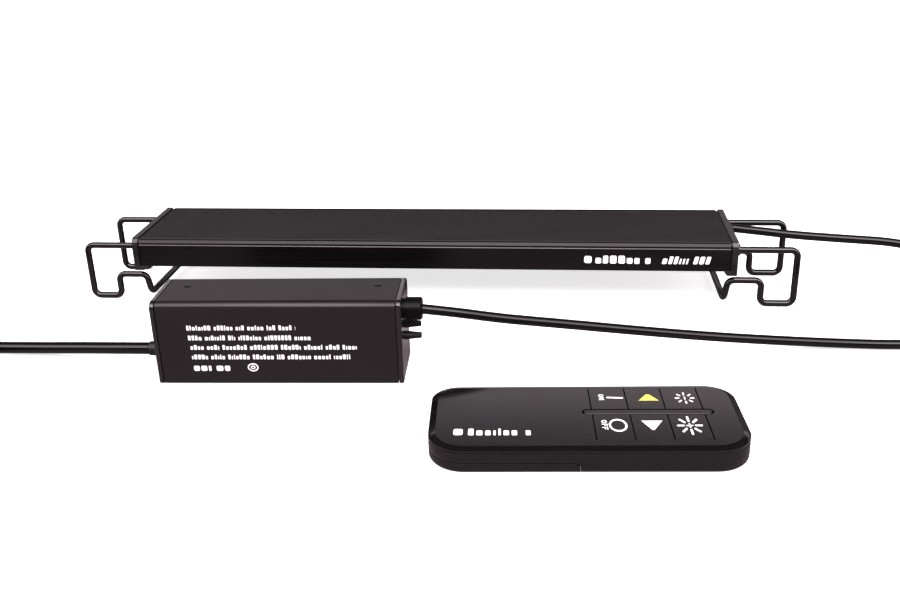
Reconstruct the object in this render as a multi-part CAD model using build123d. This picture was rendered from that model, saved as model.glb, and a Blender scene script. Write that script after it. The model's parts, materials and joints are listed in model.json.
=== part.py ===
from build123d import *
import math
import os

# A hanging light for an aquarium, with its driver and its remote control.
# Millimetres. Z is up and every part stands on Z = 0. X runs along the lamp, Y runs from front to back.
# Lamp positions are measured from the point under the middle of the bar. The whole kit is then shifted
# by KIT_SHIFT, so that the middle of its footprint lies at X = Y = 0.
KIT_SHIFT = (-1.875, 76.645, 0)

# Lamp bar
LAMP_LENGTH = 300
BAR_HALF_DEPTH = 27.5
BAR_TOP = 34.5
BAR_BOTTOM = 20.4
SLOPE_FOOT = 32.8
RIM_STEP = 0.5
RIM_LEDGE = 0.2
GROOVE_HEIGHT = 0.9
GROOVE_DEPTH = 0.8
EDGE_ROUND = 0.7
SIDE_WALL = 2.0
TOP_WALL = 1.9
WEB_TOP = 26.6
WEB_BOTTOM = 25.0
RIB_COUNT = 30
RIB_PITCH = 1.64
RIB_GAP = 0.7
RIB_DEPTH = 0.5
RIB_RECESS = 0.2
LENS_BOTTOM = 20.9
LENS_THICKNESS = 1.4
LENS_SLOT_DEPTH = 0.9
LED_BOARD_THICKNESS = 1.6
LED_BOARD_WIDTH = 38
LED_ROWS = 3
LED_COLUMNS = 20
LED_SIZE = (3.5, 2.8, 0.7)
LED_PITCH = (14.2, 11.0)
SCREW_PORT_Y = 8.0
SCREW_Z = 29.6
SCREW_SHANK_RADIUS = 1.2
SCREW_HEAD_RADIUS = 2.5
SCREW_HEAD_DEPTH = 1.8
SCREW_LENGTH = 12

# End caps
CAP_TOP = 35.0
CAP_PLATE = 3.0
CAP_LIP_BOTTOM = 18.1
CAP_LIP_LENGTH = 5.8
GASKET = 0.8
GASKET_INSET = 0.6
SPIGOT_LENGTH = 10
COLLAR_LENGTH = 1.6
COLLAR_RADIUS = 2.8
LAMP_GLAND_RADIUS = 3.0

# Wire brackets
WIRE_RADIUS = 1.6
ARM_CLEARANCE = 0.05
ARM_Y = 21.0
ARM_Z = 29.2
ARM_INNER_END = 85
NOTCH_TOP_Z = 13.5
CROSSBAR_Z = 3.6
BEND_RADIUS = 3.4
STOP_RADIUS = 2.5
# The bends of each wire in X, first at the front and then at the back
LEG_X = {-1: (176.6, 177.0), 1: (178.9, 180.75)}
NOTCH_OUTER_X = {-1: (162.0, 162.0), 1: (163.1, 164.8)}
NOTCH_INNER_X = 147.2
CROSSBAR_X = 145.6

# Driver, in its own frame with the origin under its middle
DRIVER_CENTRE = (-54.1, -98.8)
DRIVER_TURN = 2.55
DRIVER_LENGTH = 106.1
DRIVER_DEPTH = 30.4
DRIVER_HEIGHT = 37.6
DRIVER_CAP = 2.4
DRIVER_SEAM = 0.5
DRIVER_SEAM_DEPTH = 1.4
DRIVER_TOP_ROUND = 3.2
DRIVER_BOTTOM_ROUND = 1.0
DRIVER_WALL = 1.6
SNAP_X = 41.7
SNAP_Y = 3.4
SNAP_SIZE = (3.0, 1.5)
GLAND_YZ = (-6.4, 31.2)
GLAND_RADIUS = 4.9
GLAND_LENGTH = 8.3
PLUG_PORTS_YZ = ((1.5, 20.8), (1.5, 15.25))
MAINS_YZ = (-0.4, 10.0)
MAINS_BUSH_RADIUS = 3.9
MAINS_BUSH_LENGTH = 7.5

# Remote control, in its own frame with the origin under its middle
REMOTE_CENTRE = (74.85, -153.4)
REMOTE_TURN = 3.3
REMOTE_LENGTH = 117.6
REMOTE_WIDTH = 49.6
REMOTE_HEIGHT = 10.2
REMOTE_FRONT_CORNER = 13.5
REMOTE_BACK_CORNER = 10.8
REMOTE_BOTTOM_ROUND = 2.0
REMOTE_EDGE_WIDTH = 2.6
REMOTE_EDGE_DROP = 0.8
REMOTE_SEAM_Z = 8.4
REMOTE_WALL = 1.5
SEAM_GAP = 0.25
COVER_HEIGHT = 4.2
COVER_END_X = -3.5
KEY_FIRST_X = 2.6
KEY_PITCH = 14.0
KEY_SLIT = 0.5
KEY_FRONT_Y = -18.4
KEY_BACK_Y = 21.2
KEY_THICKNESS = 1.2
KEY_HINGE_GAP = 0.08
KEY_ROOT_RADIUS = 0.5
PILL_Y = 2.4
PILL_WIDTH = 4.4
PILL_LENGTH = 49.7
CELL_RADIUS = 10.0
CELL_HEIGHT = 3.2
CELL_X = -34
FLOOR_Z = 1.4
CEILING_Z = 4.75
BOARD_Z = 6.2
BOARD_THICKNESS = 1.0
DOME_HEIGHT = 0.5
POST_Z = 8.1
SCREW_POST_X = 51
SCREW_POST_Y = 15
INDICATOR_X = 53.0

# Cables
LAMP_CABLE = 4.4
MAINS_LEAD = 5.5
LAMP_COIL_CENTRE = (272.0, -36.0)
LAMP_COIL_OUTER_TURN = 31.5
LAMP_COIL_INWARD_TURNS = 3.375
MAINS_COIL_CENTRE = (-226.0, -126.0)
MAINS_COIL_OUTER_TURN = 36.4
MAINS_COIL_INWARD_TURNS = 2.75
COIL_LAYERS = 2
LAMP_CABLE_ROUTE = [
    (153.6, 15.9, 27.9),
    (167.0, 15.8, 26.5),
    (185.0, 15.2, 24.5),
    (209.0, 14.2, 23.1),
    (236.0, 12.4, 22.0),
    (261.0, 8.4, 16.4),
    (283.0, -0.6, 8.4),
    (298.5, -14.5, 2.9),
    (303.5, -36.0, 2.2),
]
DRIVER_CABLE_ROUTE = [
    (7.47, -102.46, 30.9),
    (21.0, -101.2, 29.1),
    (41.0, -96.8, 24.5),
    (66.0, -91.2, 20.1),
    (95.0, -84.6, 14.7),
    (129.0, -78.0, 9.2),
    (160.0, -72.6, 5.3),
    (189.0, -69.8, 3.1),
    (216.0, -68.7, 2.2),
    (244.0, -68.6, 4.1),
    (273.37, -67.47, 6.6),
]
MAINS_LEAD_ROUTE = [
    (-114.57, -101.89, 10.0),
    (-128.0, -100.6, 9.2),
    (-148.0, -96.2, 6.9),
    (-172.0, -91.9, 4.4),
    (-199.0, -89.4, 2.9),
    (-226.0, -89.6, 2.75),
]
MAINS_TAIL_ROUTE = [
    (-226.0, -89.6, 8.25),
    (-245.0, -89.8, 7.0),
    (-262.0, -92.9, 4.5),
    (-276.0, -101.0, 3.8),
    (-285.5, -113.5, 4.9),
    (-289.0, -129.0, 6.85),
]
PLUG_CENTRE_X = -289.0
PLUG_BACK_Y = -129.0
PLUG_Z = 6.85
PLUG_RELIEF_LENGTH = 22
PLUG_BODY_LENGTH = 36
PLUG_HALF_WIDTH = 17.6
PLUG_PIN_SPACING = 19
PLUG_PIN_RADIUS = 2.0
PLUG_PIN_LENGTH = 19
PLUG_SLEEVE_LENGTH = 10


def block(low, high):
    """A box between two corners."""
    size = [b - a for a, b in zip(low, high)]
    middle = [(a + b) / 2 for a, b in zip(low, high)]
    return Pos(*middle) * Box(*size)


def rod(start, end, radius, end_radius=None):
    """A cylinder, or a cone if an end radius is given, between two points."""
    axis = Vector(*end) - Vector(*start)
    plane = Plane(origin=start, z_dir=axis)
    if end_radius is None:
        return extrude(plane * Circle(radius), amount=axis.length)
    low = plane * Circle(radius)
    high = plane.offset(axis.length) * Circle(end_radius)
    return loft([low, high])


def prism_x(outline, x_low, x_high):
    """A prism along X whose outline is a list of (y, z) points."""
    wire = Polyline([(x_low, y, z) for y, z in outline], close=True)
    return extrude(make_face(wire), amount=x_high - x_low, dir=(1, 0, 0))


def long_edges(solid, y, z):
    """The edges of a solid that run along X at a given (y, z)."""
    found = solid.edges().filter_by(Axis.X)
    return [e for e in found if abs(e.center().Y - y) < 0.02 and abs(e.center().Z - z) < 0.02]


def mirrored(outline):
    """A half outline, given from front to back, and its mirror image in Y."""
    return outline + [(-y, z) for y, z in reversed(outline)]


def place(centre, turn):
    """Where a free-standing unit lies on the table."""
    return Pos(centre[0], centre[1], 0) * Rot(0, 0, turn)


# ---------------------------------------------------------------- lamp bar


def rib_outline():
    """The ribbed top of the bar from front to back."""
    crest = BAR_TOP - RIB_RECESS
    start = -RIB_COUNT * RIB_PITCH / 2
    points = [(start, BAR_TOP), (start, crest)]
    for number in range(RIB_COUNT):
        rib_end = start + (number + 1) * RIB_PITCH - RIB_GAP
        gap_end = rib_end + RIB_GAP
        points += [(rib_end, crest), (rib_end, crest - RIB_DEPTH)]
        points += [(gap_end, crest - RIB_DEPTH), (gap_end, crest)]
    points.append((-start, BAR_TOP))
    return points


def front_outline(top):
    """The front from its bottom edge up: a wall, a groove, a slope, and a small step up to the top face."""
    front_y = -BAR_HALF_DEPTH
    groove_y = front_y + GROOVE_DEPTH
    rise = top - RIM_STEP - SLOPE_FOOT
    rim_y = front_y + rise + RIM_LEDGE
    return [
        (front_y, BAR_BOTTOM),
        (front_y, SLOPE_FOOT - GROOVE_HEIGHT),
        (groove_y, SLOPE_FOOT - GROOVE_HEIGHT),
        (groove_y, SLOPE_FOOT),
        (front_y, SLOPE_FOOT),
        (front_y + rise, SLOPE_FOOT + rise),
        (rim_y, SLOPE_FOOT + rise),
        (rim_y, top),
    ]


def housing_extrusion():
    """The aluminium extrusion: ribs on top, a hollow for the arms, and a lens channel below."""
    half = LAMP_LENGTH / 2 - CAP_PLATE - GASKET
    front = front_outline(BAR_TOP)
    back = [(-y, z) for y, z in reversed(front)]
    body = prism_x(front + rib_outline() + back, -half, half)
    round_z = SLOPE_FOOT - GROOVE_HEIGHT
    for side in (-1, 1):
        body = fillet(long_edges(body, side * BAR_HALF_DEPTH, round_z), EDGE_ROUND)
    inner_y = BAR_HALF_DEPTH - SIDE_WALL
    lens_y = inner_y + LENS_SLOT_DEPTH
    lens_top = LENS_BOTTOM + LENS_THICKNESS
    hollow = block((-half, -inner_y, WEB_TOP), (half, inner_y, BAR_TOP - TOP_WALL))
    channel = block((-half, -inner_y, BAR_BOTTOM), (half, inner_y, WEB_BOTTOM))
    slot = block((-half, -lens_y, LENS_BOTTOM - 0.1), (half, lens_y, lens_top + 0.1))
    lead_slot = block((120, 11.5, WEB_BOTTOM), (131, 17.5, WEB_TOP))
    body = body - hollow - channel - slot - lead_slot
    for side in (-1, 1):
        port_y = side * SCREW_PORT_Y
        post = block((-half, port_y - 2.6, WEB_TOP), (half, port_y + 2.6, BAR_TOP - TOP_WALL))
        body = body + post - rod((-half, port_y, SCREW_Z), (half, port_y, SCREW_Z), SCREW_SHANK_RADIUS + 0.05)
    return body


def end_cap():
    """The right-hand cap: a lip under the bar, arm bores through two spigots, and collars outside."""
    outer = LAMP_LENGTH / 2
    inner = outer - CAP_PLATE
    outline = [(y, CAP_LIP_BOTTOM if z == BAR_BOTTOM else z) for y, z in mirrored(front_outline(CAP_TOP))]
    lip = block(
        (outer - CAP_LIP_LENGTH, -BAR_HALF_DEPTH, CAP_LIP_BOTTOM),
        (inner, BAR_HALF_DEPTH, BAR_BOTTOM - 0.05),
    )
    lower_edge = lip.edges().filter_by(Axis.Y).group_by(Axis.Z)[0].sort_by(Axis.X)[0]
    cap = prism_x(outline, inner, outer) + chamfer(lower_edge, 1.2)
    for arm_y in (-ARM_Y, ARM_Y):
        low = (inner - SPIGOT_LENGTH, arm_y - 3.2, WEB_TOP + 0.2)
        cap = cap + block(low, (inner, arm_y + 3.2, BAR_TOP - TOP_WALL - 0.4))
        cap = cap + rod((outer, arm_y, ARM_Z), (outer + COLLAR_LENGTH, arm_y, ARM_Z), COLLAR_RADIUS)
    for arm_y in (-ARM_Y, ARM_Y):
        start = (inner - SPIGOT_LENGTH - 1, arm_y, ARM_Z)
        end = (outer + COLLAR_LENGTH + 1, arm_y, ARM_Z)
        cap = cap - rod(start, end, WIRE_RADIUS + ARM_CLEARANCE)
    for screw_y in (-SCREW_PORT_Y, SCREW_PORT_Y):
        end = (outer + 1, screw_y, SCREW_Z)
        cap = cap - rod((inner - 1, screw_y, SCREW_Z), end, SCREW_SHANK_RADIUS + 0.2)
        cap = cap - rod((outer - SCREW_HEAD_DEPTH, screw_y, SCREW_Z), end, SCREW_HEAD_RADIUS + 0.2)
    return cap


def right_end_cap():
    """The right-hand cap, which also carries the cable."""
    outer = LAMP_LENGTH / 2
    _, cable_y, cable_z = LAMP_CABLE_ROUTE[0]
    start = (outer - CAP_PLATE - SPIGOT_LENGTH - 1, cable_y, cable_z)
    return end_cap() - rod(start, (outer + COLLAR_LENGTH + 1, cable_y, cable_z), LAMP_GLAND_RADIUS + 0.02)


def end_cap_gaskets():
    """A thin seal behind each cap, open where the spigots, screws and cable pass."""
    outer = LAMP_LENGTH / 2 - CAP_PLATE
    low, high = outer - GASKET, outer
    front_y = -BAR_HALF_DEPTH + GROOVE_DEPTH + GASKET_INSET
    shoulder_z = SLOPE_FOOT + 0.2
    half = [(front_y, BAR_BOTTOM + GASKET_INSET), (front_y, shoulder_z), (front_y + 1.0, BAR_TOP - 0.4)]
    seal = prism_x(mirrored(half), low, high)
    for side in (-1, 1):
        seal = seal - block((low - 1, side * ARM_Y - 3.4, WEB_TOP), (high + 1, side * ARM_Y + 3.4, 32.6))
        screw_y = side * SCREW_PORT_Y
        seal = seal - rod((low - 1, screw_y, SCREW_Z), (high + 1, screw_y, SCREW_Z), 1.6)
    _, cable_y, cable_z = LAMP_CABLE_ROUTE[0]
    seal = seal - rod((low - 1, cable_y, cable_z), (high + 1, cable_y, cable_z), LAMP_GLAND_RADIUS + 0.3)
    return Compound([seal, mirror(seal, Plane.YZ)])


def end_cap_screws():
    """Two pan-head screws with a cross recess in each cap."""
    outer = LAMP_LENGTH / 2
    screws = []
    for screw_y in (-SCREW_PORT_Y, SCREW_PORT_Y):
        head_start = outer - SCREW_HEAD_DEPTH
        head = rod((head_start, screw_y, SCREW_Z), (outer - 0.2, screw_y, SCREW_Z), SCREW_HEAD_RADIUS)
        head = fillet(head.edges().sort_by(Axis.X)[-1], 0.6)
        screw = head + rod((head_start - SCREW_LENGTH, screw_y, SCREW_Z), (head_start, screw_y, SCREW_Z),
                           SCREW_SHANK_RADIUS)
        for wide, tall in ((2.6, 0.6), (0.6, 2.6)):
            screw = screw - block((outer - 1.1, screw_y - wide / 2, SCREW_Z - tall / 2),
                                  (outer, screw_y + wide / 2, SCREW_Z + tall / 2))
        screws += [screw, mirror(screw, Plane.YZ)]
    return Compound(screws)


def led_board():
    """The aluminium-core board under the web."""
    half = LAMP_LENGTH / 2 - 12
    low = (-half, -LED_BOARD_WIDTH / 2, WEB_BOTTOM - LED_BOARD_THICKNESS)
    return block(low, (half, LED_BOARD_WIDTH / 2, WEB_BOTTOM))


def led_chips():
    """Rows of LED packages that face down."""
    long_side, short_side, height = LED_SIZE
    top = WEB_BOTTOM - LED_BOARD_THICKNESS
    chips = []
    for row in range(LED_ROWS):
        for column in range(LED_COLUMNS):
            x = (column - (LED_COLUMNS - 1) / 2) * LED_PITCH[0]
            y = (row - (LED_ROWS - 1) / 2) * LED_PITCH[1]
            low = (x - long_side / 2, y - short_side / 2, top - height)
            chips.append(block(low, (x + long_side / 2, y + short_side / 2, top)))
    return Compound(chips)


def lens_cover():
    """The clear strip that slides into the slots of the extrusion."""
    half = LAMP_LENGTH / 2 - CAP_PLATE - GASKET - 0.1
    lens_y = BAR_HALF_DEPTH - SIDE_WALL + LENS_SLOT_DEPTH - 0.1
    return block((-half, -lens_y, LENS_BOTTOM), (half, lens_y, LENS_BOTTOM + LENS_THICKNESS))


def lamp_cable_gland():
    """The rubber bush in the right cap, with a rounded outer end."""
    x, y, z = LAMP_CABLE_ROUTE[0]
    bush = rod((LAMP_LENGTH / 2 - CAP_PLATE, y, z), (x, y, z), LAMP_GLAND_RADIUS)
    return chamfer(bush.edges().sort_by(Axis.X)[-1], 0.5)


def led_leads():
    """Two wires from the bush, down through the web to the board."""
    _, y, z = LAMP_CABLE_ROUTE[0]
    start_x = LAMP_LENGTH / 2 - CAP_PLATE
    leads = []
    for offset in (-1.2, 1.2):
        lead_y = y - 1.0 + offset
        points = [(start_x, lead_y, z), (start_x - 19, lead_y, z), (start_x - 22, lead_y, WEB_BOTTOM + 0.6)]
        path = FilletPolyline(points, radius=1.5)
        leads.append(sweep(Plane(origin=path @ 0, z_dir=path % 0) * Circle(0.6), path=path))
    return Compound([lead.solid() for lead in leads])


# ---------------------------------------------------------------- wire brackets


def bracket_wire(side):
    """One wire: two arms, two legs with feet, two notches for the glass, and the bar that joins them."""
    halves = []
    for leg_x, notch_x, arm_y in zip(LEG_X[side], NOTCH_OUTER_X[side], (-ARM_Y, ARM_Y)):
        corners = [
            (ARM_INNER_END, ARM_Z),
            (leg_x, ARM_Z),
            (leg_x, WIRE_RADIUS),
            (notch_x, WIRE_RADIUS),
            (notch_x, NOTCH_TOP_Z),
            (NOTCH_INNER_X, NOTCH_TOP_Z),
            (CROSSBAR_X, CROSSBAR_Z),
        ]
        halves.append([(side * x, arm_y, z) for x, z in corners])
    path = FilletPolyline(halves[0] + halves[1][::-1], radius=BEND_RADIUS)
    return sweep(Plane(origin=path @ 0, z_dir=path % 0) * Circle(WIRE_RADIUS), path=path)


def arm_stops(side):
    """A crimped ring on the inner end of each arm, which meets the spigot when the arm is right out."""
    rings = []
    for arm_y in (-ARM_Y, ARM_Y):
        start = (side * ARM_INNER_END, arm_y, ARM_Z)
        end = (side * (ARM_INNER_END + 3), arm_y, ARM_Z)
        rings.append(rod(start, end, STOP_RADIUS) - rod(start, end, WIRE_RADIUS))
    return Compound([ring.solid() for ring in rings])


# ---------------------------------------------------------------- driver


def driver_section(inset):
    """The rounded section of the driver, drawn in Y and Z."""
    section = Rectangle(DRIVER_DEPTH - 2 * inset, DRIVER_HEIGHT - 2 * inset)
    section = fillet(section.vertices().group_by(Axis.Y)[0], max(DRIVER_BOTTOM_ROUND - inset, 0.5))
    section = fillet(section.vertices().group_by(Axis.Y)[-1], max(DRIVER_TOP_ROUND - inset, 0.8))
    return Plane(origin=(0, 0, DRIVER_HEIGHT / 2), x_dir=(0, 1, 0), z_dir=(1, 0, 0)) * section


def driver_prism(inset, x_low, x_high):
    """A length of the driver's section."""
    return Pos(x_low, 0, 0) * extrude(driver_section(inset), amount=x_high - x_low)


def driver_case():
    """The extruded sleeve, with a window near each end for the snaps of the caps."""
    half = DRIVER_LENGTH / 2 - DRIVER_CAP
    sleeve = driver_prism(0, -half, half) - driver_prism(DRIVER_WALL, -half, half)
    for side in (-1, 1):
        x = side * SNAP_X
        low = (x - SNAP_SIZE[0] / 2, SNAP_Y - SNAP_SIZE[1] / 2, DRIVER_HEIGHT - DRIVER_WALL - 1)
        sleeve = sleeve - block(low, (x + SNAP_SIZE[0] / 2, SNAP_Y + SNAP_SIZE[1] / 2, DRIVER_HEIGHT + 1))
    return sleeve


def driver_cap():
    """The right-hand cap: a plate, a spigot inside the sleeve, and a tongue that snaps into the window."""
    outer = DRIVER_LENGTH / 2
    inner = outer - DRIVER_CAP
    plate = driver_prism(0, inner + DRIVER_SEAM, outer)
    plate = fillet(plate.faces().sort_by(Axis.X)[-1].edges(), 0.5) + driver_prism(
        DRIVER_SEAM_DEPTH, inner, inner + DRIVER_SEAM)
    fit = DRIVER_WALL + 0.05
    spigot = driver_prism(fit, inner - 6, inner) - driver_prism(fit + 1.4, inner - 6, inner)
    tongue_top = DRIVER_HEIGHT - fit
    tongue = block((SNAP_X - 3, SNAP_Y - 3, tongue_top - 1.2), (inner - 6, SNAP_Y + 3, tongue_top))
    bump_low = (SNAP_X - SNAP_SIZE[0] / 2 + 0.2, SNAP_Y - SNAP_SIZE[1] / 2 + 0.15, tongue_top)
    bump_high = (SNAP_X + SNAP_SIZE[0] / 2 - 0.2, SNAP_Y + SNAP_SIZE[1] / 2 - 0.15, DRIVER_HEIGHT - 0.7)
    return plate + spigot + tongue + block(bump_low, bump_high)


def driver_right_cap():
    """The cap with the output gland and the two blanked outlets."""
    outer = DRIVER_LENGTH / 2
    cap = driver_cap() - rod((outer - 9, *GLAND_YZ), (outer + 1, *GLAND_YZ), 3.6)
    for port in PLUG_PORTS_YZ:
        cap = cap - rod((outer - 9, *port), (outer + 1, *port), 1.3)
    return cap


def driver_left_cap():
    """The cap with the mains lead."""
    outer = DRIVER_LENGTH / 2
    return mirror(driver_cap(), Plane.YZ) - rod((-outer - 1, *MAINS_YZ), (-outer + 9, *MAINS_YZ), 2.9)


def gland_body():
    """The threaded sleeve of the output gland, with its flange."""
    outer = DRIVER_LENGTH / 2
    return rod((outer - 5, *GLAND_YZ), (outer, *GLAND_YZ), 3.58) + rod(
        (outer, *GLAND_YZ), (outer + 1.4, *GLAND_YZ), GLAND_RADIUS - 0.5)


def gland_nut():
    """The round nut that clamps the cable."""
    outer = DRIVER_LENGTH / 2
    nut = rod((outer + 1.4, *GLAND_YZ), (outer + GLAND_LENGTH, *GLAND_YZ), GLAND_RADIUS)
    ends = nut.edges().filter_by(GeomType.CIRCLE).sort_by(Axis.X)
    return chamfer(ends[-1], 0.6)


def port_plugs():
    """Tapered rubber plugs in the unused outlets."""
    outer = DRIVER_LENGTH / 2
    plugs = []
    for port in PLUG_PORTS_YZ:
        stem = rod((outer - 4, *port), (outer, *port), 1.28)
        cone = rod((outer, *port), (outer + 6.8, *port), 1.95, 1.25)
        plugs.append((stem + cone).solid())
    return Compound(plugs)


def mains_bush():
    """The strain relief of the mains lead, in the left cap."""
    outer = DRIVER_LENGTH / 2
    stem = rod((-outer + 5, *MAINS_YZ), (-outer, *MAINS_YZ), 2.88)
    collar = rod((-outer, *MAINS_YZ), (-outer - 2.5, *MAINS_YZ), MAINS_BUSH_RADIUS)
    tail_start, tail_end = (-outer - 2.5, *MAINS_YZ), (-outer - MAINS_BUSH_LENGTH, *MAINS_YZ)
    tail = rod(tail_start, tail_end, MAINS_BUSH_RADIUS - 0.4, 3.1)
    return stem + collar + tail


def driver_board():
    """The circuit board, low in the sleeve."""
    return block((-42, -11.8, 4.2), (42, 11.8, 5.8))


def driver_transformer():
    """A wound core with its bobbin."""
    bobbin = block((-14, -9.5, 5.8), (8, 9.5, 8.0)) + block((-14, -9.5, 22), (8, 9.5, 24))
    return bobbin + block((-11, -8.5, 8), (5, 8.5, 22))


def driver_choke():
    """A small wound choke on end."""
    return rod((20, 3, 5.8), (20, 3, 17.8), 6) - rod((20, 3, 16.8), (20, 3, 17.8), 2.4)


def driver_capacitors():
    """Two upright electrolytic cans and a flat film capacitor."""
    cans = [rod((-32, 4, 5.8), (-32, 4, 27.8), 6.5), rod((32.5, -5, 5.8), (32.5, -5, 21.8), 4.5)]
    film = block((-26, -10.5, 5.8), (-20, 1.5, 16.8))
    return Compound([cans[0].solid(), cans[1].solid(), film.solid()])


def driver_heat_sink():
    """An aluminium fin bolted to the switching device."""
    return block((12, 9.2, 5.8), (36, 10.8, 26)) + block((12, 6.2, 24.4), (36, 9.2, 26))


def driver_radio_board():
    """The upright receiver board for the remote control."""
    return block((10, -10.5, 5.8), (26, -9.5, 22))


# ---------------------------------------------------------------- remote control


def remote_prism(inset, z_low, z_high):
    """A slice of the remote's rounded outline."""
    outline = Rectangle(REMOTE_LENGTH - 2 * inset, REMOTE_WIDTH - 2 * inset)
    outline = fillet(outline.vertices().group_by(Axis.Y)[0], REMOTE_FRONT_CORNER - inset)
    outline = fillet(outline.vertices().group_by(Axis.Y)[-1], REMOTE_BACK_CORNER - inset)
    return Pos(0, 0, z_low) * extrude(outline, amount=z_high - z_low)


def cover_zone(gap):
    """The space of the battery cover: the lower left part of the remote, rounded at its inner end."""
    zone = block((-REMOTE_LENGTH, -REMOTE_WIDTH, -1), (COVER_END_X + gap, REMOTE_WIDTH, COVER_HEIGHT + gap))
    corner = zone.edges().filter_by(Axis.Y).sort_by(Axis.X)[-2:].sort_by(Axis.Z)[-1]
    return fillet(corner, 3.0)


def remote_outer():
    """The whole lower body of the remote, rounded at its bottom edge."""
    body = remote_prism(0, 0, REMOTE_SEAM_Z)
    return fillet(body.faces().sort_by(Axis.Z)[0].edges(), REMOTE_BOTTOM_ROUND)


def remote_bottom_shell():
    """The lower shell: a tray on the right, a ceiling over the battery bay on the left."""
    wall_x = COVER_END_X + SEAM_GAP + 1.5
    cavity = remote_prism(REMOTE_WALL, FLOOR_Z, REMOTE_SEAM_Z)
    right = block((wall_x, -REMOTE_WIDTH, 0), (REMOTE_LENGTH, REMOTE_WIDTH, 20))
    left = block((-REMOTE_LENGTH, -REMOTE_WIDTH, CEILING_Z + 0.9), (wall_x, REMOTE_WIDTH, 20))
    shell = remote_outer() - (cavity & right) - (cavity & left) - cover_zone(SEAM_GAP)
    bay = Pos(CELL_X, 0, COVER_HEIGHT) * extrude(Circle(CELL_RADIUS + 1.6), amount=CEILING_Z - COVER_HEIGHT)
    shell = shell - bay
    for y in (-SCREW_POST_Y, SCREW_POST_Y):
        post = rod((SCREW_POST_X, y, FLOOR_Z), (SCREW_POST_X, y, BOARD_Z), 2.2)
        hole = rod((SCREW_POST_X, y, -1), (SCREW_POST_X, y, BOARD_Z + 1), 1.0)
        recess = rod((SCREW_POST_X, y, -1), (SCREW_POST_X, y, 1.2), 2.0)
        shell = shell + post - hole - recess
    return shell


def remote_battery_cover():
    """The sliding cover: a tray with an open top and an open inner end."""
    cover = remote_outer() & cover_zone(0)
    return cover - remote_prism(REMOTE_WALL, FLOOR_Z - 0.2, REMOTE_SEAM_Z)


def key_span(column):
    """The X limits of a key in a column from 0 to 2."""
    start = KEY_FIRST_X + column * KEY_PITCH
    return start + KEY_SLIT / 2, start + KEY_PITCH - KEY_SLIT / 2


def key_limits(row):
    """The hinge end and the free end of a key in Y, for row -1 in front and row 1 behind."""
    if row < 0:
        return KEY_FRONT_Y + KEY_HINGE_GAP, PILL_Y - PILL_WIDTH / 2
    return KEY_BACK_Y - KEY_HINGE_GAP, PILL_Y + PILL_WIDTH / 2


def pill(width, length, z_low, z_high):
    """A bar with round ends on the line between the rows of keys."""
    middle_x = KEY_FIRST_X + 1.5 * KEY_PITCH
    return Pos(middle_x, PILL_Y, z_low) * extrude(SlotOverall(length, width), amount=z_high - z_low)


def remote_top_shell():
    """The glossy upper shell, open where the keys and the rib are."""
    low = REMOTE_SEAM_Z + SEAM_GAP
    shell = remote_prism(0, low, REMOTE_HEIGHT)
    top_face = shell.faces().sort_by(Axis.Z)[-1]
    shell = chamfer(top_face.edges(), REMOTE_EDGE_WIDTH, REMOTE_EDGE_DROP, reference=top_face)
    under = REMOTE_HEIGHT - KEY_THICKNESS
    rim = remote_prism(REMOTE_WALL + 0.1, BOARD_Z + BOARD_THICKNESS + 0.2, low)
    rim = rim - remote_prism(REMOTE_WALL + 1.1, BOARD_Z, low)
    shell = shell + rim - remote_prism(REMOTE_WALL + 1.1, low - 1, under)
    half_slit = KEY_SLIT / 2
    window_low = (KEY_FIRST_X - half_slit, KEY_FRONT_Y, 0)
    window_high = (KEY_FIRST_X + 3 * KEY_PITCH + half_slit, KEY_BACK_Y, 20)
    shell = shell - block(window_low, window_high) - pill(PILL_WIDTH, PILL_LENGTH, 0, 20)
    for y in (-SCREW_POST_Y, SCREW_POST_Y):
        boss = rod((SCREW_POST_X, y, BOARD_Z + BOARD_THICKNESS + 0.1), (SCREW_POST_X, y, under + 0.2), 2.0)
        shell = shell + boss - rod((SCREW_POST_X, y, 0), (SCREW_POST_X, y, under + 0.2), 0.85)
    return shell - rod((INDICATOR_X, PILL_Y, 0), (INDICATOR_X, PILL_Y, 20), 0.7)


def key(row, column):
    """A flap key with a round root that it turns on, and its actuator post."""
    x_low, x_high = key_span(column)
    hinge_y, free_y = key_limits(row)
    under = REMOTE_HEIGHT - KEY_THICKNESS
    root_y, root_z = hinge_y - row * KEY_ROOT_RADIUS, under + KEY_ROOT_RADIUS
    root = rod((x_low, root_y, root_z), (x_high, root_y, root_z), KEY_ROOT_RADIUS)
    flap = block((x_low, min(root_y, free_y), under), (x_high, max(root_y, free_y), REMOTE_HEIGHT))
    heel_low, heel_high = (x_low, min(root_y, hinge_y), root_z), (x_high, max(root_y, hinge_y), REMOTE_HEIGHT)
    flap = flap + root + block(heel_low, heel_high)
    x, y = (x_low + x_high) / 2, switch_y(row)
    return flap + rod((x, y, POST_Z), (x, y, under), 1.3)


def switch_y(row):
    """Where the dome switches of a row lie."""
    hinge_y, free_y = key_limits(row)
    return hinge_y + 0.6 * (free_y - hinge_y)


def remote_centre_rib():
    """The rib between the rows, on two feet that stand on the board."""
    rib = pill(PILL_WIDTH - 1.3, PILL_LENGTH - 1.3, REMOTE_HEIGHT - 1.4, REMOTE_HEIGHT + 0.1)
    rib = fillet(rib.faces().sort_by(Axis.Z)[-1].edges(), 0.4)
    for column in (0.5, 2.5):
        x = KEY_FIRST_X + column * KEY_PITCH
        rib = rib + rod((x, PILL_Y, BOARD_Z + BOARD_THICKNESS), (x, PILL_Y, REMOTE_HEIGHT - 1.4), 1.2)
    return rib


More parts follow.
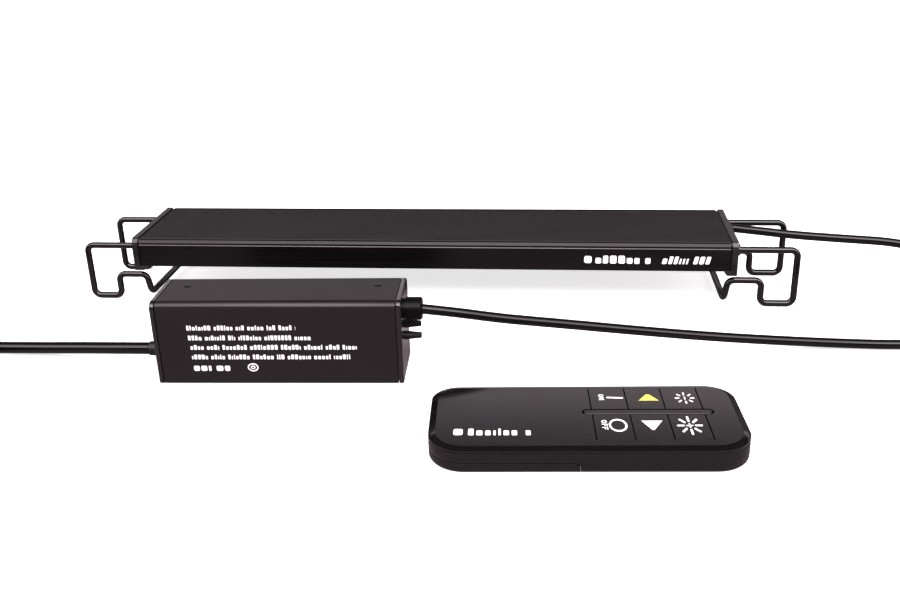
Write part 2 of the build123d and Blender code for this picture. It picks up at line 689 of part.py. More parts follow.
def remote_board():
    """The circuit board of the remote, with holes for the screws."""
    board = remote_prism(REMOTE_WALL + 1.3, BOARD_Z, BOARD_Z + BOARD_THICKNESS)
    for y in (-SCREW_POST_Y, SCREW_POST_Y):
        board = board - rod((SCREW_POST_X, y, 0), (SCREW_POST_X, y, 20), 1.1)
    return board


def remote_dome_switches():
    """One metal dome under each key."""
    top = BOARD_Z + BOARD_THICKNESS
    domes = []
    for row in (-1, 1):
        for column in range(3):
            x, y = sum(key_span(column)) / 2, switch_y(row)
            domes.append(rod((x, y, top), (x, y, top + DOME_HEIGHT), 2.2, 1.4).solid())
    return Compound(domes)


def remote_indicator():
    """The light pipe of the indicator."""
    top = BOARD_Z + BOARD_THICKNESS
    return rod((INDICATOR_X, PILL_Y, top), (INDICATOR_X, PILL_Y, REMOTE_HEIGHT - 0.1), 0.65)


def remote_coin_cell():
    """A 20 mm lithium cell with its smaller lower cup."""
    can = rod((CELL_X, 0, 2.0), (CELL_X, 0, CEILING_Z - 0.1), CELL_RADIUS)
    return can + rod((CELL_X, 0, CEILING_Z - 0.1 - CELL_HEIGHT), (CELL_X, 0, 2.0), CELL_RADIUS - 1.2)


def remote_cell_holder():
    """The ring round the cell, open on one side for a finger."""
    ring = rod((CELL_X, 0, 1.7), (CELL_X, 0, CEILING_Z), CELL_RADIUS + 1.4)
    ring = ring - rod((CELL_X, 0, 1), (CELL_X, 0, 6), CELL_RADIUS + 0.15)
    return ring - block((CELL_X + 5, -5, 1), (CELL_X + 14, 5, 6))


def remote_screws():
    """The two screws that hold the shells together."""
    screws = []
    for y in (-SCREW_POST_Y, SCREW_POST_Y):
        head = rod((SCREW_POST_X, y, 0.3), (SCREW_POST_X, y, 1.2), 1.8)
        head = head - block((SCREW_POST_X - 1.2, y - 0.25, 0), (SCREW_POST_X + 1.2, y + 0.25, 0.7))
        head = head - block((SCREW_POST_X - 0.25, y - 1.2, 0), (SCREW_POST_X + 0.25, y + 1.2, 0.7))
        screws.append((head + rod((SCREW_POST_X, y, 1.2), (SCREW_POST_X, y, 8.6), 0.8)).solid())
    return Compound(screws)


# ---------------------------------------------------------------- cables


def corner_radii(points):
    """The arc at each corner of a route: as large as its two runs leave room for."""
    radii = []
    for before, corner, after in zip(points, points[1:], points[2:]):
        arriving = Vector(*corner) - Vector(*before)
        leaving = Vector(*after) - Vector(*corner)
        turn = math.radians(arriving.get_angle(leaving))
        radii.append(0.45 * min(arriving.length, leaving.length) / math.tan(turn / 2))
    return radii


def cable(name, points, diameter):
    """A tube along the route of a cable that isn't coiled."""
    radii = corner_radii(points)
    path = FilletPolyline(points, radius=radii)
    tube = sweep(Plane(origin=path @ 0, z_dir=path % 0) * Circle(diameter / 2), path=path)
    share = tube.volume / (math.pi * diameter**2 / 4 * path.length)
    print(name, "length", round(path.length, 1), "volume share", round(share, 4),
          "radii in diameters", [round(r / diameter, 1) for r in radii])
    return tube


def coil(centre, outer_turn, inward_turns, diameter):
    """The outer shape of a neat coil of two layers."""
    outer = outer_turn + diameter / 2
    inner = outer_turn - inward_turns * diameter - diameter / 2
    ring = extrude(Circle(outer) - Circle(inner), amount=COIL_LAYERS * diameter)
    return Pos(*centre, 0) * fillet(ring.edges(), diameter * 0.3)


def plug_body():
    """The flat body of the plug, wide at the pins, and its tapered strain relief."""
    relief_end = PLUG_BACK_Y - PLUG_RELIEF_LENGTH
    relief = rod((PLUG_CENTRE_X, PLUG_BACK_Y, PLUG_Z), (PLUG_CENTRE_X, relief_end, PLUG_Z), 3.2, 4.8)
    front = relief_end - PLUG_BODY_LENGTH
    outline = Polyline(
        [
            (PLUG_CENTRE_X - 7, relief_end),
            (PLUG_CENTRE_X + 7, relief_end),
            (PLUG_CENTRE_X + PLUG_HALF_WIDTH - 2, relief_end - 22),
            (PLUG_CENTRE_X + PLUG_HALF_WIDTH, front),
            (PLUG_CENTRE_X - PLUG_HALF_WIDTH, front),
            (PLUG_CENTRE_X - PLUG_HALF_WIDTH + 2, relief_end - 22),
        ],
        close=True,
    )
    body = extrude(make_face(outline), amount=2 * PLUG_Z)
    body = fillet(body.edges().filter_by(Axis.Z), 3.0)
    body = fillet(body.edges().group_by(Axis.Z)[-1] + body.edges().group_by(Axis.Z)[0], 2.0)
    return body + relief


def plug_pins():
    """Two round pins with insulating sleeves on their roots."""
    front = PLUG_BACK_Y - PLUG_RELIEF_LENGTH - PLUG_BODY_LENGTH
    pins = []
    for side in (-1, 1):
        x = PLUG_CENTRE_X + side * PLUG_PIN_SPACING / 2
        sleeve_end = front - PLUG_SLEEVE_LENGTH
        pin = rod((x, front, PLUG_Z), (x, sleeve_end, PLUG_Z), PLUG_PIN_RADIUS - 0.25)
        tip = rod((x, sleeve_end, PLUG_Z), (x, front - PLUG_PIN_LENGTH, PLUG_Z), PLUG_PIN_RADIUS)
        tip = fillet(tip.edges().filter_by(GeomType.CIRCLE).sort_by(Axis.Y)[0], 1.2)
        pins.append((pin + tip).solid())
    return Compound(pins)


# ---------------------------------------------------------------- the kit

LAMP = {
    "housing_extrusion": housing_extrusion(),
    "left_end_cap": mirror(end_cap(), Plane.YZ),
    "right_end_cap": right_end_cap(),
    "end_cap_gaskets": end_cap_gaskets(),
    "end_cap_screws": end_cap_screws(),
    "led_board": led_board(),
    "led_chips": led_chips(),
    "lens_cover": lens_cover(),
    "led_leads": led_leads(),
    "lamp_cable_gland": lamp_cable_gland(),
    "left_bracket_wire": bracket_wire(-1),
    "right_bracket_wire": bracket_wire(1),
    "left_arm_stops": arm_stops(-1),
    "right_arm_stops": arm_stops(1),
}
DRIVER = {
    "driver_case": driver_case(),
    "driver_left_cap": driver_left_cap(),
    "driver_right_cap": driver_right_cap(),
    "driver_board": driver_board(),
    "driver_transformer": driver_transformer(),
    "driver_choke": driver_choke(),
    "driver_capacitors": driver_capacitors(),
    "driver_heat_sink": driver_heat_sink(),
    "driver_radio_board": driver_radio_board(),
    "gland_body": gland_body(),
    "gland_nut": gland_nut(),
    "port_plugs": port_plugs(),
    "mains_bush": mains_bush(),
}
REMOTE = {
    "remote_bottom_shell": remote_bottom_shell(),
    "remote_top_shell": remote_top_shell(),
    "remote_battery_cover": remote_battery_cover(),
    "remote_centre_rib": remote_centre_rib(),
    "remote_board": remote_board(),
    "remote_dome_switches": remote_dome_switches(),
    "remote_indicator": remote_indicator(),
    "remote_coin_cell": remote_coin_cell(),
    "remote_cell_holder": remote_cell_holder(),
    "remote_screws": remote_screws(),
}
KEY_NAMES = {1: ("key_on", "key_warmer", "key_dimmer"), -1: ("key_off", "key_cooler", "key_brighter")}
for key_row, names in KEY_NAMES.items():
    for key_column, key_name in enumerate(names):
        REMOTE[key_name] = key(key_row, key_column)
CABLES = {
    "lamp_cable_run": cable("lamp_cable_run", LAMP_CABLE_ROUTE, LAMP_CABLE),
    "lamp_cable_coil": coil(LAMP_COIL_CENTRE, LAMP_COIL_OUTER_TURN, LAMP_COIL_INWARD_TURNS, LAMP_CABLE),
    "driver_cable_run": cable("driver_cable_run", DRIVER_CABLE_ROUTE, LAMP_CABLE),
    "mains_lead_run": cable("mains_lead_run", MAINS_LEAD_ROUTE, MAINS_LEAD),
    "mains_lead_coil": coil(MAINS_COIL_CENTRE, MAINS_COIL_OUTER_TURN, MAINS_COIL_INWARD_TURNS, MAINS_LEAD),
    "mains_lead_tail": cable("mains_lead_tail", MAINS_TAIL_ROUTE, MAINS_LEAD),
    "plug_body": plug_body(),
    "plug_pins": plug_pins(),
}

os.makedirs("parts", exist_ok=True)
shift = Pos(*KIT_SHIFT)
for nodes, where in (
    (LAMP, shift),
    (DRIVER, shift * place(DRIVER_CENTRE, DRIVER_TURN)),
    (REMOTE, shift * place(REMOTE_CENTRE, REMOTE_TURN)),
    (CABLES, shift),
):
    for node, shape in nodes.items():
        export_step(where * shape, f"parts/{node}.step")
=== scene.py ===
import json
import math
import random

import bpy
import bmesh
from mathutils import Matrix, Vector


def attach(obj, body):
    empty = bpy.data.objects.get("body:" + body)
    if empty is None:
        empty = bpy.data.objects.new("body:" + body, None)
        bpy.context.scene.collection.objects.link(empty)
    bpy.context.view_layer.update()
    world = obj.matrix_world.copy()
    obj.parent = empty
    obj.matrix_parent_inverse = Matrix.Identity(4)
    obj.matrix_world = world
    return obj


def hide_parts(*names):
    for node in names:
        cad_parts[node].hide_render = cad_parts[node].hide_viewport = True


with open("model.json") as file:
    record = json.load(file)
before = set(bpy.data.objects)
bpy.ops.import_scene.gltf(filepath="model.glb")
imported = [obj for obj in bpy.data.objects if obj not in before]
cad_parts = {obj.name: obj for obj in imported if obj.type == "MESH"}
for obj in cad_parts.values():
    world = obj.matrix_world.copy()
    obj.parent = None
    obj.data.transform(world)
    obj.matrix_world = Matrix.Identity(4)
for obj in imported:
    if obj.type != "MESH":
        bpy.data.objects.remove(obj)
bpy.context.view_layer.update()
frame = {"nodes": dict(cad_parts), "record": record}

# An aquarium light with its driver, its remote control and their cables.
# Lengths in the tables below are millimetres in the lamp's own frame, unless a comment says otherwise: the
# origin is on the table under the middle of the bar, X runs along the bar, Y to the back and Z up. KIT_SHIFT
# takes that frame to the frame of the loaded CAD.
MM = 0.001
KIT_SHIFT = Vector((-1.875, 76.645, 0))
NODES = frame["nodes"]
# Where each unit's own origin lies in the lamp's frame, and how many degrees the unit is turned
PLACES = {"lamp": ((0, 0), 0), "driver": ((-54.1, -98.8), 2.55), "remote": ((74.85, -153.4), 3.3)}


def place(unit="lamp"):
    """The matrix that takes a unit's own millimetres to the metres of the loaded CAD."""
    (x, y), turn = PLACES[unit]
    shift = Matrix.Translation(KIT_SHIFT + Vector((x, y, 0)))
    return Matrix.Scale(MM, 4) @ shift @ Matrix.Rotation(math.radians(turn), 4, "Z")


LAMP, DRIVER, REMOTE = place("lamp"), place("driver"), place("remote")

# ------------------------------------------------------------------ camera

CAMERA_PLACE = (61.883, -490.809, 197.429)
CAMERA_YAW, CAMERA_PITCH, CAMERA_ROLL = -6.264, 22.558, -1.684
CAMERA_LENS = 40.402
SENSOR_WIDTH = 36
# In metres
NEAREST_SEEN = 0.01


def make_camera():
    """The camera at the photograph's viewing angle."""
    yaw, pitch, roll = (math.radians(a) for a in (CAMERA_YAW, CAMERA_PITCH, CAMERA_ROLL))
    ahead = Vector((math.sin(yaw) * math.cos(pitch), math.cos(yaw) * math.cos(pitch), -math.sin(pitch)))
    right = Vector((math.cos(yaw), -math.sin(yaw), 0))
    up = right.cross(ahead)
    across = right * math.cos(roll) + up * math.sin(roll)
    upright = -right * math.sin(roll) + up * math.cos(roll)
    data = bpy.data.cameras.new("camera")
    data.sensor_width, data.lens, data.clip_start = SENSOR_WIDTH, CAMERA_LENS, NEAREST_SEEN
    camera = bpy.data.objects.new("camera", data)
    camera.matrix_world = Matrix.Translation(LAMP @ Vector(CAMERA_PLACE)) @ Matrix(
        (across, upright, -ahead)).transposed().to_4x4()
    bpy.context.scene.collection.objects.link(camera)
    bpy.context.scene.camera = camera


make_camera()

# ------------------------------------------------------------------ materials


# The Mix node has separate sockets for each type of data. These are the ones for colours.
MIX_FACTOR, MIX_A, MIX_B, MIX_RESULT = 0, 6, 7, 2


def solid(colour):
    """A colour as a socket takes it. A link passes through as it is."""
    return colour if isinstance(colour, bpy.types.NodeSocket) else (*colour, 1)


class Tree:
    """A node tree with a short call that adds a node, sets it up and links it."""

    def __init__(self, tree):
        self.tree = tree

    def add(self, kind, inputs=None, **settings):
        node = self.tree.nodes.new(kind)
        for key, value in settings.items():
            setattr(node, key, value)
        for key, value in (inputs or {}).items():
            if isinstance(value, bpy.types.NodeSocket):
                self.tree.links.new(value, node.inputs[key])
            else:
                node.inputs[key].default_value = value
        return node

    def math(self, operation, *values):
        return self.add("ShaderNodeMath", dict(enumerate(values)), operation=operation).outputs[0]

    def blend(self, factor, a, b):
        inputs = {MIX_FACTOR: factor, MIX_A: solid(a), MIX_B: solid(b)}
        return self.add("ShaderNodeMix", inputs, data_type="RGBA").outputs[MIX_RESULT]


class Nodes(Tree):
    """A material's node tree, with short calls for what the materials here need."""

    SOCKETS = {
        "colour": "Base Color", "rough": "Roughness", "normal": "Normal", "metal": "Metallic",
        "specular": "Specular IOR Level", "coat": "Coat Weight", "coat_rough": "Coat Roughness",
        "transmission": "Transmission Weight", "ior": "IOR", "emission": "Emission Color",
        "glow": "Emission Strength"}

    def __init__(self, name):
        self.material = bpy.data.materials.new(name)
        self.material.use_nodes = True
        super().__init__(self.material.node_tree)
        self.shader = self.tree.nodes["Principled BSDF"]
        self.coords = self.tree.nodes.new("ShaderNodeTexCoord")

    def object_coords(self, scale=(1, 1, 1)):
        inputs = {"Vector": self.coords.outputs["Object"], "Scale": scale}
        return self.add("ShaderNodeMapping", inputs).outputs["Vector"]

    def noise(self, scale, detail=2.0, stretch=(1, 1, 1), rough=0.5):
        inputs = {"Vector": self.object_coords(stretch), "Scale": scale, "Detail": detail, "Roughness": rough}
        return self.add("ShaderNodeTexNoise", inputs).outputs["Fac"]

    def remap(self, value, low, high, from_low=0.3, from_high=0.7):
        inputs = {"Value": value, "From Min": from_low, "From Max": from_high, "To Min": low, "To Max": high}
        return self.add("ShaderNodeMapRange", inputs).outputs["Result"]

    def bump(self, height, distance, strength=1.0, after=None):
        inputs = {"Height": height, "Distance": distance, "Strength": strength}
        if after is not None:
            inputs["Normal"] = after
        return self.add("ShaderNodeBump", inputs).outputs["Normal"]

    def finish(self, **sockets):
        """Link what varies to the shader, and set what doesn't on the shader's own sockets."""
        for key, value in sockets.items():
            socket = self.shader.inputs[self.SOCKETS[key]]
            if isinstance(value, bpy.types.NodeSocket):
                self.tree.links.new(value, socket)
            elif isinstance(value, tuple):
                socket.default_value = (*value, 1)
            else:
                socket.default_value = value
        return self.material


def scaled(colour, factor, lift=0.0):
    """A colour made stronger or weaker, and then lifted by the same amount in each channel."""
    return tuple(c * factor + lift for c in colour)


# The scale of a noise and the grain and lines of a finish are waves per metre. A depth is a bump's in metres.
PATCHINESS = 0.12


def moulded(name, colour, rough, grain, depth, specular, coat=0.0):
    """A finish with a fine grain: a second tone in patches, a roughness that drifts, and a small bump."""
    n = Nodes(name)
    patches = n.noise(scale=38, detail=3)
    fine = n.noise(scale=grain, detail=3, rough=0.6)
    lighter = scaled(colour, 1 + 2.5 * PATCHINESS, 0.0008)
    tone = n.blend(n.remap(fine, 0, 1), colour, lighter)
    tone = n.blend(n.remap(patches, 0, 0.5), tone, scaled(colour, 1 - PATCHINESS))
    smear = n.remap(n.noise(scale=9, detail=4), -0.5, 0.5)
    wobble = n.math("ADD", n.remap(fine, -0.5, 0.5), smear)
    drift = n.math("MULTIPLY_ADD", wobble, PATCHINESS * rough, rough)
    return n.finish(colour=tone, rough=drift, specular=specular, normal=n.bump(fine, depth), coat=coat)


def drawn(name, colour, rough, metal, specular, depth, lines=1500, vary=0.3, painted_highlight_band=None):
    """Metal with fine lines along X, from drawing or brushing.

    A painted highlight band is a band of heights with a lighter colour of its own, which stands in for the
    highlight on a
    rounded edge: the band's middle and half height in millimetres above the table, and the colour.
    """
    n = Nodes(name)
    streaks = n.noise(scale=lines, detail=2, stretch=(0.012, 1, 1))
    specks = n.noise(scale=2600, detail=1)
    tone = n.blend(n.remap(streaks, 0, 1), colour, scaled(colour, 1 + vary, 0.001))
    tone = n.blend(n.remap(specks, 0, 0.35, 0.6, 0.75), tone, scaled(colour, 1.9, 0.002))
    if painted_highlight_band:
        # Painted highlight: the band of heights takes a lighter colour in place of the light that a rounded
        # edge catches
        middle, half, wear_and_highlight = painted_highlight_band
        height = n.add("ShaderNodeSeparateXYZ", {"Vector": n.coords.outputs["Object"]}).outputs["Z"]
        inside = n.math("COMPARE", height, middle * MM, half * MM)
        tone = n.blend(inside, tone, wear_and_highlight)
    uneven = n.remap(streaks, rough * 0.86, rough * 1.14)
    lined = n.bump(streaks, depth)
    return n.finish(colour=tone, rough=uneven, metal=metal, specular=specular,
                    normal=n.bump(specks, depth * 0.6, after=lined))


def bare_metal(name, colour, rough, depth, lines=1500):
    return drawn(name, colour, rough, metal=1.0, specular=0.5, depth=depth, lines=lines)


ORANGE_PEEL, ORANGE_PEEL_DEPTH = 240, 0.000006
COAT_ROUGHNESS = 0.04


def polished(name, colour, rough, specular, coat=0.0):
    """A glossy skin: orange peel in long waves, faint smears and a few specks of dust."""
    n = Nodes(name)
    waves = n.noise(scale=ORANGE_PEEL, detail=1)
    smears = n.noise(scale=22, detail=4, stretch=(1, 2.2, 1), rough=0.65)
    dust = n.noise(scale=1900, detail=0)
    tone = n.blend(n.remap(dust, 0, 0.6, 0.73, 0.8), colour, scaled(colour, 3, 0.012))
    uneven = n.remap(smears, rough * 0.6, rough * 1.7)
    return n.finish(colour=tone, rough=uneven, specular=specular, coat=coat, coat_rough=COAT_ROUGHNESS,
                    normal=n.bump(waves, ORANGE_PEEL_DEPTH))


def circuit_board(name, mask, copper):
    """Solder mask with the faint relief of the tracks under it."""
    n = Nodes(name)
    inputs = {"Vector": n.object_coords(), "Scale": 90.0, "Mortar Size": 0.035, "Brick Width": 0.9,
              "Row Height": 0.28, "Mortar Smooth": 0.2}
    bricks = n.add("ShaderNodeTexBrick", inputs, offset_frequency=3, squash_frequency=3, squash=0.7)
    tracks = bricks.outputs["Fac"]
    grain = n.noise(scale=700, detail=2)
    tone = n.blend(tracks, mask, copper)
    return n.finish(colour=tone, rough=n.remap(grain, 0.25, 0.4), normal=n.bump(tracks, 0.00003, 0.6))


def winding(name):
    """Enamelled copper wire wound round Z."""
    n = Nodes(name)
    inputs = {"Vector": n.object_coords(), "Scale": 420.0, "Distortion": 0.6, "Detail": 1.0}
    wave = n.add("ShaderNodeTexWave", inputs, wave_type="BANDS", bands_direction="Z")
    turns = wave.outputs["Fac"]
    tone = n.blend(turns, (0.16, 0.05, 0.015), (0.62, 0.28, 0.1))
    return n.finish(colour=tone, rough=n.remap(turns, 0.5, 0.22, 0, 1), metal=0.85,
                    normal=n.bump(turns, 0.0001))


def clear(name):
    """Clear acrylic with a faint prismatic grain."""
    n = Nodes(name)
    flutes = n.noise(scale=1400, detail=0, stretch=(0.02, 1, 1))
    grain = n.remap(n.noise(scale=500, detail=2), 0.06, 0.12)
    return n.finish(colour=(0.93, 0.97, 0.98), rough=grain, transmission=1.0, ior=1.49,
                    normal=n.bump(flutes, 0.00001))


def phosphor(name):
    """The yellow gel of an LED package."""
    n = Nodes(name)
    grain = n.noise(scale=3500, detail=2)
    tone = n.blend(n.remap(grain, 0, 1), (0.86, 0.62, 0.08), (0.95, 0.83, 0.3))
    return n.finish(colour=tone, rough=n.remap(grain, 0.25, 0.4), specular=0.5,
                    normal=n.bump(grain, 0.00001))


def printed(name, colour, wear_and_highlight):
    """Screen-printed ink, a little thin in places."""
    n = Nodes(name)
    thin = n.noise(scale=1300, detail=3, rough=0.7)
    tone = n.blend(n.remap(thin, 0, 0.5, 0.56, 0.75), colour, wear_and_highlight)
    return n.finish(colour=tone, rough=n.remap(thin, 0.38, 0.55), specular=0.4, normal=n.bump(thin, 0.00001))


# The rounded edge under the groove of the bar, with a painted highlight: a lighter colour in a band of
# heights stands in for the light that edge catches
PAINTED_HIGHLIGHT_EDGE = (31.62, 0.2, (0.075, 0.066, 0.067))

MATERIALS = {
    "anodised_black": drawn(
        "anodised_black", (0.0016, 0.0013, 0.0012), rough=0.24, metal=0.0, specular=0.32, depth=0.0000025,
        vary=0.15, painted_highlight_band=PAINTED_HIGHLIGHT_EDGE),
    "cap_plastic": moulded(
        "cap_plastic", (0.004, 0.0034, 0.0036), rough=0.26, grain=1500, depth=0.00001, specular=0.5,
        coat=0.4),
    "wire_black": polished("wire_black", (0.001, 0.0009, 0.0009), rough=0.1, specular=0.55),
    "black_rubber": moulded(
        "black_rubber", (0.0045, 0.004, 0.004), rough=0.45, grain=1200, depth=0.00002, specular=0.3),
    "cable_jacket": polished("cable_jacket", (0.0014, 0.0012, 0.0012), rough=0.13, specular=0.34),
    "screw_steel": bare_metal("screw_steel", (0.5, 0.5, 0.51), rough=0.3, depth=0.000008, lines=2400),
    "board_white": circuit_board("board_white", mask=(0.82, 0.82, 0.79), copper=(0.66, 0.66, 0.62)),
    "board_green": circuit_board("board_green", mask=(0.004, 0.036, 0.015), copper=(0.012, 0.07, 0.03)),
    "led_phosphor": phosphor("led_phosphor"),
    "clear_acrylic": clear("clear_acrylic"),
    "driver_black": moulded(
        "driver_black", (0.0056, 0.0047, 0.0047), rough=0.3, grain=1900, depth=0.00001, specular=0.34),
    "winding": winding("winding"),
    "component_black": moulded(
        "component_black", (0.0022, 0.002, 0.002), rough=0.3, grain=900, depth=0.00001, specular=0.08),
    "bare_aluminium": bare_metal("bare_aluminium", (0.78, 0.78, 0.79), rough=0.33, depth=0.000008),
    "cap_gloss": polished("cap_gloss", (0.0062, 0.005, 0.0051), rough=0.24, specular=0.1, coat=1.0),
    "remote_gloss": polished("remote_gloss", (0.0026, 0.0022, 0.0022), rough=0.08, specular=0.45, coat=0.1),
    "remote_satin": moulded(
        "remote_satin", (0.0042, 0.0037, 0.0037), rough=0.26, grain=900, depth=0.000006, specular=0.38),
    "cell_steel": bare_metal("cell_steel", (0.72, 0.72, 0.73), rough=0.2, depth=0.000004, lines=1800),
    "indicator_red": polished("indicator_red", (0.03, 0.004, 0.004), rough=0.2, specular=0.5, coat=0.2),
    "pin_brass": bare_metal("pin_brass", (0.74, 0.71, 0.62), rough=0.2, depth=0.000004, lines=1800),
    "print_white": printed("print_white", (0.93, 0.93, 0.92), wear_and_highlight=(0.72, 0.72, 0.71)),
    "print_yellow": printed("print_yellow", (0.72, 0.66, 0.12), wear_and_highlight=(0.55, 0.49, 0.08)),
}

for entry in frame["record"]["subparts"]:
    node = NODES[entry["node"]]
    node.data.materials.clear()
    node.data.materials.append(MATERIALS[entry["material_slot"]])

# ------------------------------------------------------------------ pieces in general


def piece(name, data, body, slot):
    """A finished piece: in the scene, in its material, and riding on its body."""
    made = bpy.data.objects.new(name, data)
    bpy.context.scene.collection.objects.link(made)
    if not data.materials:
        data.materials.append(MATERIALS[slot])
    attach(made, body)
    return made


# ------------------------------------------------------------------ cables

LAMP_CABLE, MAINS_LEAD = 4.4, 5.5
LAMP_CABLE_ROUTE = [
    (153.6, 15.9, 27.9), (167.0, 15.8, 26.5), (185.0, 15.2, 24.5), (209.0, 14.2, 23.1), (236.0, 12.4, 22.0),
    (261.0, 8.4, 16.4), (283.0, -0.6, 8.4), (298.5, -14.5, 2.9)]
DRIVER_CABLE_ROUTE = [
    (7.47, -102.46, 30.9), (21.0, -101.2, 29.1), (41.0, -96.8, 24.5), (66.0, -91.2, 20.1),
    (95.0, -84.6, 14.7), (129.0, -78.0, 9.2), (160.0, -72.6, 5.3), (189.0, -69.8, 3.1), (216.0, -68.7, 2.2),
    (244.0, -68.6, 4.1)]
MAINS_LEAD_ROUTE = [
    (-114.57, -101.89, 10.0), (-128.0, -100.6, 9.2), (-148.0, -96.2, 6.9), (-172.0, -91.9, 4.4),
    (-199.0, -89.4, 2.9)]
MAINS_TAIL_ROUTE = [
    (-245.0, -89.8, 7.0), (-262.0, -92.9, 4.5), (-276.0, -101.0, 3.8), (-285.5, -113.5, 4.9),
    (-289.0, -129.0, 6.85)]
POINTS_PER_TURN = 16
RISING_TURNS = 0.5
SPLINE_ORDER, SPLINE_STEPS = 3, 6
CABLE_ROUNDNESS = 5


def wound(centre, outer_turn, inward_turns, diameter, start_angle, way):
    """The points of a two-layer coil: inward on the table, up in half a turn, and outward on top."""
    low, high = diameter / 2, 1.5 * diameter
    total = 2 * inward_turns + RISING_TURNS
    count = round(total * POINTS_PER_TURN)
    # The spline only touches the middles of the lines between its points, so the points lie further out.
    reach = 2 / (1 + math.cos(2 * math.pi / POINTS_PER_TURN))
    points = []
    for step in range(count + 1):
        turned = total * step / count
        inward = min(turned, inward_turns, total - turned)
        rise = min(max((turned - inward_turns) / RISING_TURNS, 0), 1)
        angle = math.radians(start_angle) + way * 2 * math.pi * turned
        radius = (outer_turn - inward * diameter) * reach ** 0.5
        z = low + (high - low) * (3 * rise**2 - 2 * rise**3)
        points.append((centre[0] + radius * math.cos(angle), centre[1] + radius * math.sin(angle), z))
    return points


def cable(name, points, diameter):
    """A round cable along the points, as one open spline."""
    data = bpy.data.curves.new(name, "CURVE")
    data.dimensions, data.resolution_u = "3D", SPLINE_STEPS
    data.bevel_depth, data.bevel_resolution = diameter / 2 * MM, CABLE_ROUNDNESS
    data.use_fill_caps = True
    spline = data.splines.new("NURBS")
    spline.points.add(len(points) - 1)
    for control, point in zip(spline.points, points):
        control.co = (*(LAMP @ Vector(point)), 1)
    spline.order_u, spline.use_endpoint_u = SPLINE_ORDER, True
    return piece(name, data, "lamp", "cable_jacket")


CLOCKWISE, ANTICLOCKWISE = -1, 1
lamp_coil = wound((272.0, -36.0), outer_turn=31.5, inward_turns=3.375, diameter=LAMP_CABLE, start_angle=0,
                  way=CLOCKWISE)
mains_coil = wound((-226.0, -126.0), outer_turn=36.4, inward_turns=2.75, diameter=MAINS_LEAD, start_angle=90,
                   way=ANTICLOCKWISE)
lamp_cable = cable("lamp_cable", LAMP_CABLE_ROUTE + lamp_coil + DRIVER_CABLE_ROUTE[::-1], LAMP_CABLE)
mains_lead = cable("mains_lead", MAINS_LEAD_ROUTE + mains_coil + MAINS_TAIL_ROUTE, MAINS_LEAD)
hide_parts("lamp_cable_run", "lamp_cable_coil", "driver_cable_run")
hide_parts("mains_lead_run", "mains_lead_coil", "mains_lead_tail")


# ------------------------------------------------------------------ printed signs

# How far ink reaches into its face and stands out of it
SINK, PROUD = 0.02, 0.03
ROUND_END_STEPS = 8
# The blocks of dummy text. The cut is a share of a block's shorter side and the rest are shares of the
# line's height. The widths are also multiplied by the weight of the text.
BLOCK_CUT = 0.18
BLOCK_GAP, WORD_GAP = 0.2, 0.45
BLOCK_WIDTHS = (0.45, 0.9, 1.0, 1.0, 1.15)
BLOCK_HEIGHTS = (0.72, 0.72, 1.0, 1.0)
SHORTEST_WORD, LONGEST_WORD = 3, 8
# The letters, as shares of their height
LETTER_STROKE = 0.2
LETTER_STEP = 0.9
ROUND_LETTER_STEP, ROUND_LETTER_HALF = 1.02, 0.4
ROUND_LETTER_POINTS = 20


